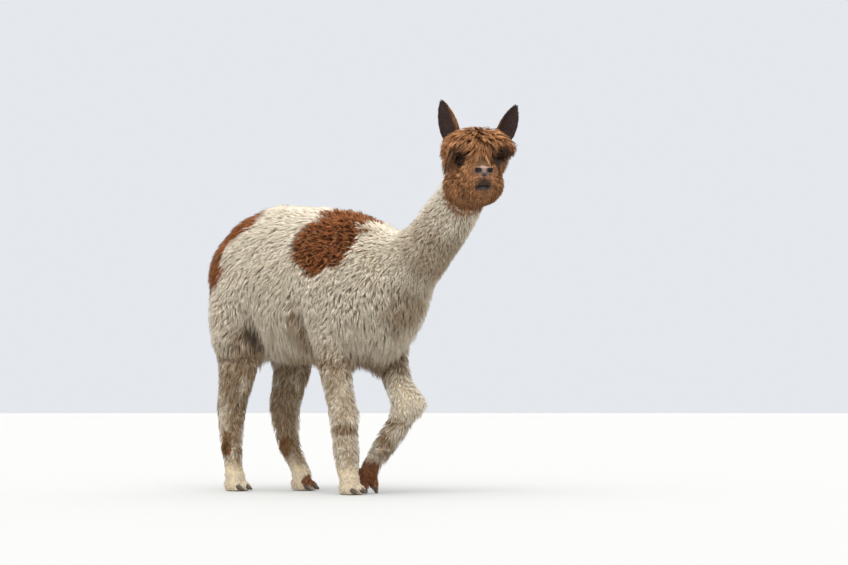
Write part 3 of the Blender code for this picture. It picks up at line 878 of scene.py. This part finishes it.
def eyelashes():
    """A row of long dark lashes along each upper lid."""
    rng = np.random.default_rng(160)
    lines, outs = [], []
    for side in SIDES.values():
        gaze = np.array(eye_gaze(side))
        aside = unit(np.cross(gaze, (0, 0, 1)))
        for angle in np.radians(np.linspace(18, 162, LASHES)):
            ray = aside * math.cos(angle) + np.array((0, 0, math.sin(angle)))
            root = np.array(eye_place(side)) + gaze * 0.015 + ray * (0.0128, 0.0128, 0.0092)
            reach = LASH_LENGTH * rng.uniform(0.8, 1.1)
            way = unit(gaze + ray * (0.55, 0.55, 0.15) + rng.normal(size=3) * 0.06)
            steps = np.linspace(0, 1, 4)[:, None]
            lines.append(root + way * reach * steps - np.array((0, 0, 0.006)) * steps**2)
            outs.append(np.array((0.0, 0.0, 1.0)))
    frame_at = np.array(head_frame())
    line = np.array(lines) @ frame_at[:3, :3].T + frame_at[:3, 3]
    count = len(line)
    marks = (np.ones(count), np.zeros(count), np.ones(count))
    base = unwrap(FACE, line[:, 0])
    return hairs("eyelashes", line, np.array(outs), 0.0008, np.zeros((count, 2)), marks, base)


def fitted(uv, cell=(0.0, 0.0, 1.0, 1.0)):
    """An unwrap stretched to fill a cell, clear of its border."""
    t = (uv - uv.min(0)) / np.maximum(uv.max(0) - uv.min(0), 1e-6)
    x, y, wide, tall = cell
    return np.stack([x + (0.004 + 0.992 * t[:, 0]) * wide, y + (0.004 + 0.992 * t[:, 1]) * tall], 1)


def rolled(points, centre, axis, across, *cell):
    """A flat unwrap of a roughly round form: around its axis, and along it."""
    axis = unit(np.array(axis, float))
    across = unit(np.array(across, float))
    local = points - np.array(centre)
    turn = np.arctan2(local @ np.cross(axis, across), local @ across)
    return fitted(np.stack([turn, local @ axis], 1), *cell)


def unwrap(kind, root):
    """Where the roots of a piece of coat lie on its flat unwrap."""
    if kind >= TOPKNOT:
        places = head_places(root) - np.array((-0.02, 0, 0.0))
        turn = np.arctan2(places[:, 1], places[:, 0])
        rise = np.arctan2(places[:, 2], norm(places[:, :2], axis=1))
        return fitted(np.stack([turn, rise], 1))
    if kind == TRUNK:
        return rolled(root, at(0, 0, 0.7), (0, 1, 0), (1, 0, 0) if root[0, 0] > 0 else (-1, 0, 0))
    if kind == NECK:
        return rolled(root, at(0.55, 0.005, 0.8), (0, -0.75, 0.66), (0, 0.66, 0.75))
    if kind == TAIL:
        return rolled(root, root.mean(0), (0, 0, 1), (1, 0, 0))
    uv = np.zeros((len(root), 2))
    for column, side in enumerate(SIDES.values()):
        for row, fore in enumerate((True, False)):
            mine = (root[:, 0] * side > 0) & ((root[:, 1] < MIDDLE) == fore)
            if mine.any():
                cell = (column * 0.5, row * 0.5, 0.5, 0.5)
                uv[mine] = rolled(root[mine], root[mine].mean(0), (0, 0, 1), (0, 1, 0), cell)
    return uv


# ---- materials


def rgb(colour):
    """Linear colour from three display values of 0 to 255."""
    out = []
    for value in colour:
        value /= 255
        out.append(value / 12.92 if value <= 0.04045 else ((value + 0.055) / 1.055) ** 2.4)
    return (*out, 1.0)


class Nodes:
    """Short ways to lay out a material's nodes."""

    def __init__(self, name):
        self.material = bpy.data.materials.new(name)
        self.material.use_nodes = True
        self.tree = self.material.node_tree
        self.shader = self.tree.nodes["Principled BSDF"]

    def add(self, kind, **settings):
        node = self.tree.nodes.new("ShaderNode" + kind)
        for key, value in settings.items():
            setattr(node, key, value)
        return node

    def feed(self, source, socket):
        """Puts a number, a colour of display values or another node's output into a socket."""
        if isinstance(source, bpy.types.NodeSocket):
            self.tree.links.new(source, socket)
        else:
            socket.default_value = source if isinstance(source, (int, float)) else rgb(source)

    def attribute(self, name, output="Fac"):
        return self.add("Attribute", attribute_name=name).outputs[output]

    def three(self, name):
        """The three numbers of an attribute."""
        node = self.add("SeparateXYZ")
        self.feed(self.attribute(name, "Vector"), node.inputs[0])
        return list(node.outputs)

    def math(self, operation, first, second=0.0):
        node = self.add("Math", operation=operation)
        self.feed(first, node.inputs[0])
        self.feed(second, node.inputs[1])
        return node.outputs[0]

    def spread(self, value, low, high, new_low=0.0, new_high=1.0):
        node = self.add("MapRange", interpolation_type="SMOOTHSTEP")
        for source, socket in zip((value, low, high, new_low, new_high), node.inputs):
            self.feed(source, socket)
        return node.outputs[0]

    def mix(self, amount, first, second, blend="MIX"):
        """Mixes two colours."""
        node = self.add("Mix", data_type="RGBA", blend_type=blend)
        colours = [socket for socket in node.inputs if socket.type == "RGBA"]
        self.feed(amount, node.inputs[0])
        self.feed(first, colours[0])
        self.feed(second, colours[1])
        return node.outputs[2]

    def grey(self, value):
        node = self.add("CombineColor")
        for socket in node.inputs:
            self.feed(value, socket)
        return node.outputs[0]

    def noise(self, scale, detail=3.0, roughness=0.5):
        node = self.add("TexNoise")
        self.feed(self.add("TexCoord").outputs["Object"], node.inputs["Vector"])
        node.inputs["Scale"].default_value = scale
        node.inputs["Detail"].default_value = detail
        node.inputs["Roughness"].default_value = roughness
        return node.outputs["Fac"]

    def finish(self, colour, roughness, specular=0.5, coat=0.0):
        self.feed(colour, self.shader.inputs["Base Color"])
        self.shader.inputs["Roughness"].default_value = roughness
        self.shader.inputs["Specular IOR Level"].default_value = specular
        self.shader.inputs["Coat Weight"].default_value = coat
        return self.material


def wool_material(name, colours, brown, brown_dark, bleached):
    """Wool whose hairs are painted darker towards their roots, as painted shade where the locks cover one
    another, with each lock and hair a little its own tone.
    """
    n = Nodes(name)
    lock, own, height = n.three("grain")
    tone = n.math("ADD", n.math("MULTIPLY", lock, 0.7), n.math("MULTIPLY", own, 0.3))
    pale = n.mix(tone, colours.cream_dark, colours.cream)
    rust = n.mix(tone, brown_dark, brown)
    rust = n.mix(n.spread(own, 0.72, 1.0, 0.0, bleached), rust, colours.bleached)
    colour = n.mix(n.attribute("brown"), pale, rust)
    # the dirt colour paints dirt, and painted shade under overhanging wool
    soiled = n.math("MULTIPLY", n.attribute("dirt_and_shade"), n.spread(own, 0.0, 1.0, 0.55, 1.0))
    colour = n.mix(soiled, colour, colours.dirt_and_shade)
    # the dark mask is dark hair of the ears, lips and lashes, and painted shade round the eyes, on the
    # cheeks and in the creases
    colour = n.mix(n.attribute("dark"), colour, n.mix(tone, colours.dark, colours.dark_pale))
    # painted shade: each hair is darkened towards its root, where the wool above shades it
    painted_root_shade = n.grey(n.spread(height, 0.0, 0.9, 0.74, 1.0))
    return n.finish(n.mix(1.0, colour, painted_root_shade, "MULTIPLY"), 0.85, 0.15)


HIDE = {  # what lies over the cream hide, each over the last: its darkest and palest display values. The brown is darker than the brown wool, as painted shade in the gaps between the locks. The dirt also paints shade under overhanging wool, the dark also paints shade round the eyes, on the cheeks and in the creases, and the pale is a painted highlight along the top of the nose
    "brown": ((70, 42, 25), (110, 70, 43)),
    "dirt_and_shade": ((112, 90, 66), (112, 90, 66)),
    "dark": ((28, 20, 18), (48, 35, 31)),
    "nose": ((92, 74, 68), (128, 106, 98)),
    # painted highlight along the top of the nose
    "pale": ((134, 108, 94), (172, 144, 126)),
    "bare": ((24, 20, 20), (50, 43, 43)),
}


def skin_material():
    """Hide under the wool, painted darker than the wool as the shade between its locks, and the bare skin
    of nose, lips, lids and ears.
    """
    n = Nodes("hide")
    grit = n.noise(260.0, 4.0, 0.6)
    # painted shade: the hide's cream is darker than the cream wool, for the shaded gaps between the locks
    colour = n.mix(grit, (168, 150, 120), (200, 182, 150))
    for name, (darkest, palest) in HIDE.items():
        colour = n.mix(n.attribute(name), colour, n.mix(grit, darkest, palest))
    bump = n.add("Bump")
    bump.inputs["Strength"].default_value = 0.5
    bump.inputs["Distance"].default_value = 0.0012
    n.feed(n.noise(420.0, 5.0, 0.65), bump.inputs["Height"])
    n.feed(bump.outputs["Normal"], n.shader.inputs["Normal"])
    return n.finish(colour, 0.62, 0.25)


def eye_material():
    n = Nodes("eye")
    iris, pupil, _ = n.three("zone")
    colour = n.mix(iris, (24, 18, 15), (34, 18, 11))
    n.shader.inputs["Coat Roughness"].default_value = 0.06
    return n.finish(n.mix(pupil, colour, (6, 5, 6)), 0.3, 0.1, 0.28)


def nail_material():
    n = Nodes("horn")
    return n.finish(n.mix(n.noise(150.0, 3.0, 0.6), (34, 27, 22), (82, 66, 50)), 0.5)


def wool(of_head):
    """The material of the fleece, or of the head's wool, made once."""
    name = "head_wool" if of_head else "fleece_wool"
    if name not in MADE:
        colours = bpy.context.scene.alpaca_colours
        shades = (colours.brown, colours.brown_dark, 0.35)
        if of_head:
            shades = (colours.head, colours.head_dark, 0.7)
        MADE[name] = wool_material(name, colours, *shades)
    return MADE[name]


# ---- settings


def length(name, description, default):
    return bpy.props.FloatProperty(name=name, description=description, default=default, unit="LENGTH")


def colour(name, description, default):
    return bpy.props.FloatVectorProperty(
        name=name, description=description, default=default, size=3, min=0, max=255
    )


class AlpacaSizes(bpy.types.PropertyGroup):
    """Sizes of the coat and the face."""

    trunk_depth: length("Trunk fleece", "How deep the fleece stands on the trunk", 0.030)
    neck_depth: length("Neck fleece", "How deep the fleece stands on the neck", 0.020)
    leg_depth: length("Leg wool", "How deep the wool stands on the legs", 0.013)
    eye_radius: length("Eye radius", "Radius of the eyeball", 0.0178)
    trunk_hairs: bpy.props.IntProperty(
        name="Trunk hairs", description="Hairs in each of the six pieces of fleece", default=9300, min=100
    )


class AlpacaColours(bpy.types.PropertyGroup):
    """Colours of the coat, as display values of 0 to 255."""

    cream: colour("Cream", "The palest fleece", (250, 241, 223))
    cream_dark: colour("Deep cream", "The darkest clean fleece", (226, 211, 188))
    brown: colour("Brown", "The brightest brown wool of the body", (186, 112, 62))
    brown_dark: colour("Deep brown", "The darkest brown wool of the body", (76, 41, 20))
    head: colour("Head wool", "The brightest wool of the head", (226, 160, 106))
    head_dark: colour("Deep head wool", "The darkest wool of the head", (90, 52, 29))
    bleached: colour("Bleached strands", "Sun-bleached strands of the brown wool", (232, 186, 140))
    # this colour paints soiled wool, and painted shade under the knees and thighs, behind the elbows and
    # under the belly
    dirt_and_shade: colour("Dirt", "Soiled wool on the legs and belly", (146, 113, 72))
    # this colour paints the dark hair of the ears and lips, and painted shade round the eyes, on the cheeks
    # and in the creases
    dark: colour("Dark hair", "The darkest hair of the ears and lips", (38, 27, 24))
    dark_pale: colour("Pale dark hair", "The palest hair of the ears and lips", (74, 53, 45))
    floor: colour("Floor", "The studio floor", (184, 183, 180))


# ---- operators


class ALPACA_OT_skin(bpy.types.Operator):
    """Make one skin for the whole animal"""

    bl_idname = "alpaca.skin"
    bl_label = "Skin"

    def execute(self, context):
        skin = make_skin(context.scene.alpaca_sizes)
        paint_skin(skin)
        settle(skin, "fleece", skin_material(), *FLESH)
        MADE["ground"] = Ground(skin)
        return {"FINISHED"}


class ALPACA_OT_eyes(bpy.types.Operator):
    """Set the two eyes in their sockets"""

    bl_idname = "alpaca.eyes"
    bl_label = "Eyes"

    def execute(self, context):
        material = eye_material()
        radius = context.scene.alpaca_sizes.eye_radius
        for name, side in SIDES.items():
            eye = primitive(bpy.ops.mesh.primitive_uv_sphere_add, segments=96, ring_count=64, radius=radius)
            eye.name = f"eyeball_{name}"
            gaze = np.array(eye_gaze(side))
            co = vertices(eye)
            ahead = co @ gaze
            flat = co - np.outer(ahead, gaze)
            iris = fade(0.0105, 0.0125, norm(flat, axis=1)) * (ahead > 0)
            oval = np.hypot(flat[:, 2] / 0.0034, norm(flat[:, :2], axis=1) / 0.0075)
            pupil = fade(0.85, 1.1, oval) * (ahead > 0)
            add_values(eye.data, "zone", np.stack([iris, pupil, iris * 0], 1))
            swell = ramp(0.72, 0.98, ahead / radius) * 0.0006
            set_vertices(eye, co + unit(co) * swell[:, None])
            eye.data.transform(head_frame() @ Matrix.Translation(eye_place(side)))
            settle(eye, "eye", material, f"eye_{name}")
        return {"FINISHED"}


class ALPACA_OT_nails(bpy.types.Operator):
    """Round the eight nails"""

    bl_idname = "alpaca.nails"
    bl_label = "Nails"

    def execute(self, context):
        material = nail_material()
        for node in NAILS:
            nail = twin(node)
            nail.name = f"{node}_horn"
            with_modifier(nail, "BEVEL", width=0.0015, segments=2)
            with_modifier(nail, "SUBSURF", levels=1, render_levels=1)
            settle(nail, "nail", material, node)
        return {"FINISHED"}


def clothe(name, kind, count, seed, where=None, slot="fleece"):
    """Grows one piece of the coat and finishes it."""
    settle(grow(name, kind, count, seed, where), slot, wool(kind >= TOPKNOT))


class ALPACA_OT_fleece(bpy.types.Operator):
    """Grow the fleece of the trunk and tail"""

    bl_idname = "alpaca.fleece"
    bl_label = "Fleece"

    def execute(self, context):
        count = context.scene.alpaca_sizes.trunk_hairs
        for word, side in SIDES.items():
            for low, high, part in ((0.14, 9.0, "shoulder"), (-0.15, 0.14, "side"), (-9.0, -0.15, "rump")):

                def within(places, side=side, low=low, high=high):
                    return (places[:, 1] * side > 0) & (places[:, 0] > low) & (places[:, 0] <= high)

                clothe(f"fleece_{part}_{word}", TRUNK, count, round(100 + low * 10 + side), within)
        clothe("tail_wool", TAIL, 1500, 120)
        return {"FINISHED"}


class ALPACA_OT_neck_wool(bpy.types.Operator):
    """Grow the fleece of the neck"""

    bl_idname = "alpaca.neck_wool"
    bl_label = "Neck wool"

    def execute(self, context):
        clothe("neck_wool", NECK, 14500, 130)
        return {"FINISHED"}


class ALPACA_OT_leg_wool(bpy.types.Operator):
    """Grow the wool of the legs and the short hair of the feet"""

    bl_idname = "alpaca.leg_wool"
    bl_label = "Leg wool"

    def execute(self, context):
        for word, seed, sign in (("fore", 140, 1), ("hind", 141, -1)):

            def within(places, sign=sign):
                return places[:, 0] * sign > 0

            clothe(f"{word}leg_wool", LEG, 8800, seed, within)
        clothe("foot_hair", FOOT, 6000, 142, slot="foot_hair")
        return {"FINISHED"}


class ALPACA_OT_head_wool(bpy.types.Operator):
    """Grow the topknot, the cheeks and beard, and the short hair of face and ears"""

    bl_idname = "alpaca.head_wool"
    bl_label = "Head wool"

    def execute(self, context):
        clothe("topknot", TOPKNOT, 7000, 150, slot="head_wool")
        clothe("nape_wool", NAPE, 2400, 151, slot="head_wool")
        clothe("beard", BEARD, 7500, 152, slot="head_wool")
        clothe("cheek_wool", CHEEK, 6500, 153, slot="head_wool")
        clothe("face_hair", FACE, 10000, 154, slot="head_wool")
        clothe("ear_hair", EAR, 7000, 155, slot="ear_hair")
        settle(eyelashes(), "head_wool", wool(True))
        return {"FINISHED"}


def light(name, wide, strength, place):
    """A soft far lamp, this many degrees wide, that shines from a place towards the origin."""
    lamp = bpy.data.lights.new(name, "SUN")
    lamp.angle = math.radians(wide)
    lamp.energy = strength
    obj = linked(name, lamp)
    obj.location = place
    obj.rotation_euler = (-Vector(place)).to_track_quat("-Z", "Y").to_euler()


class ALPACA_OT_stage(bpy.types.Operator):
    """Lay the floor and set the lights and the camera"""

    bl_idname = "alpaca.stage"
    bl_label = "Stage"

    def execute(self, context):
        add = bpy.ops.mesh.primitive_circle_add
        floor = primitive(add, vertices=128, radius=60, fill_type="NGON", location=(0, 0, -0.0005))
        floor.name = "floor"
        pale = Nodes("floor").finish(context.scene.alpaca_colours.floor, 0.9, 0.2)
        floor.data.materials.append(pale)
        world = bpy.data.worlds.new("studio")
        world.use_nodes = True
        world.node_tree.nodes["Background"].inputs["Color"].default_value = (0.93, 0.96, 1.0, 1)
        world.node_tree.nodes["Background"].inputs["Strength"].default_value = 0.84
        context.scene.world = world
        light("sky", 70, 2.0, (-1.0, -0.3, 2.7))
        light("side", 60, 2.5, (-0.8, -0.8, 0.7))
        light("fill", 80, 1.1, (1.0, 0.9, 0.8))
        context.scene.view_settings.view_transform = "Standard"
        turn = math.radians(VIEW_TURN)
        right = Vector((math.cos(turn), math.sin(turn), 0))
        back = Vector((math.sin(turn), -math.cos(turn), 0))
        middle = Vector((0, MIDDLE, 0))
        camera = bpy.data.cameras.new("camera")
        camera.sensor_width = 36
        camera.lens = 134.7
        camera.clip_end = 200
        eye = linked("camera", camera)
        eye.location = middle + back * VIEW_AWAY + Vector((0, 0, VIEW_UP))
        target = middle + right * VIEW_AIM[0] + Vector((0, 0, VIEW_AIM[1]))
        eye.rotation_euler = (target - eye.location).to_track_quat("-Z", "Y").to_euler()
        context.scene.camera = eye
        return {"FINISHED"}


class ALPACA_PT_panel(bpy.types.Panel):
    """The alpaca's pieces and sizes"""

    bl_label = "Alpaca"
    bl_idname = "ALPACA_PT_panel"
    bl_space_type = "VIEW_3D"
    bl_region_type = "UI"
    bl_category = "Alpaca"

    def draw(self, context):
        for group in (context.scene.alpaca_sizes, context.scene.alpaca_colours):
            for key in group.bl_rna.properties.keys():
                if key not in ("rna_type", "name"):
                    self.layout.prop(group, key)
        for operator in OPERATORS:
            self.layout.operator(operator.bl_idname)


OPERATORS = (
    ALPACA_OT_skin,
    ALPACA_OT_eyes,
    ALPACA_OT_nails,
    ALPACA_OT_fleece,
    ALPACA_OT_neck_wool,
    ALPACA_OT_leg_wool,
    ALPACA_OT_head_wool,
    ALPACA_OT_stage,
)
GROUPS = (AlpacaSizes, AlpacaColours)


def register():
    for item in GROUPS + OPERATORS + (ALPACA_PT_panel,):
        bpy.utils.register_class(item)
    bpy.types.Scene.alpaca_sizes = bpy.props.PointerProperty(type=AlpacaSizes)
    bpy.types.Scene.alpaca_colours = bpy.props.PointerProperty(type=AlpacaColours)


def unregister():
    del bpy.types.Scene.alpaca_colours
    del bpy.types.Scene.alpaca_sizes
    for item in reversed(GROUPS + OPERATORS + (ALPACA_PT_panel,)):
        bpy.utils.unregister_class(item)


def main():
    register()
    bpy.ops.alpaca.skin()
    bpy.ops.alpaca.eyes()
    bpy.ops.alpaca.nails()
    bpy.ops.alpaca.fleece()
    bpy.ops.alpaca.neck_wool()
    bpy.ops.alpaca.leg_wool()
    bpy.ops.alpaca.head_wool()
    bpy.ops.alpaca.stage()


if __name__ == "__main__":
    main()
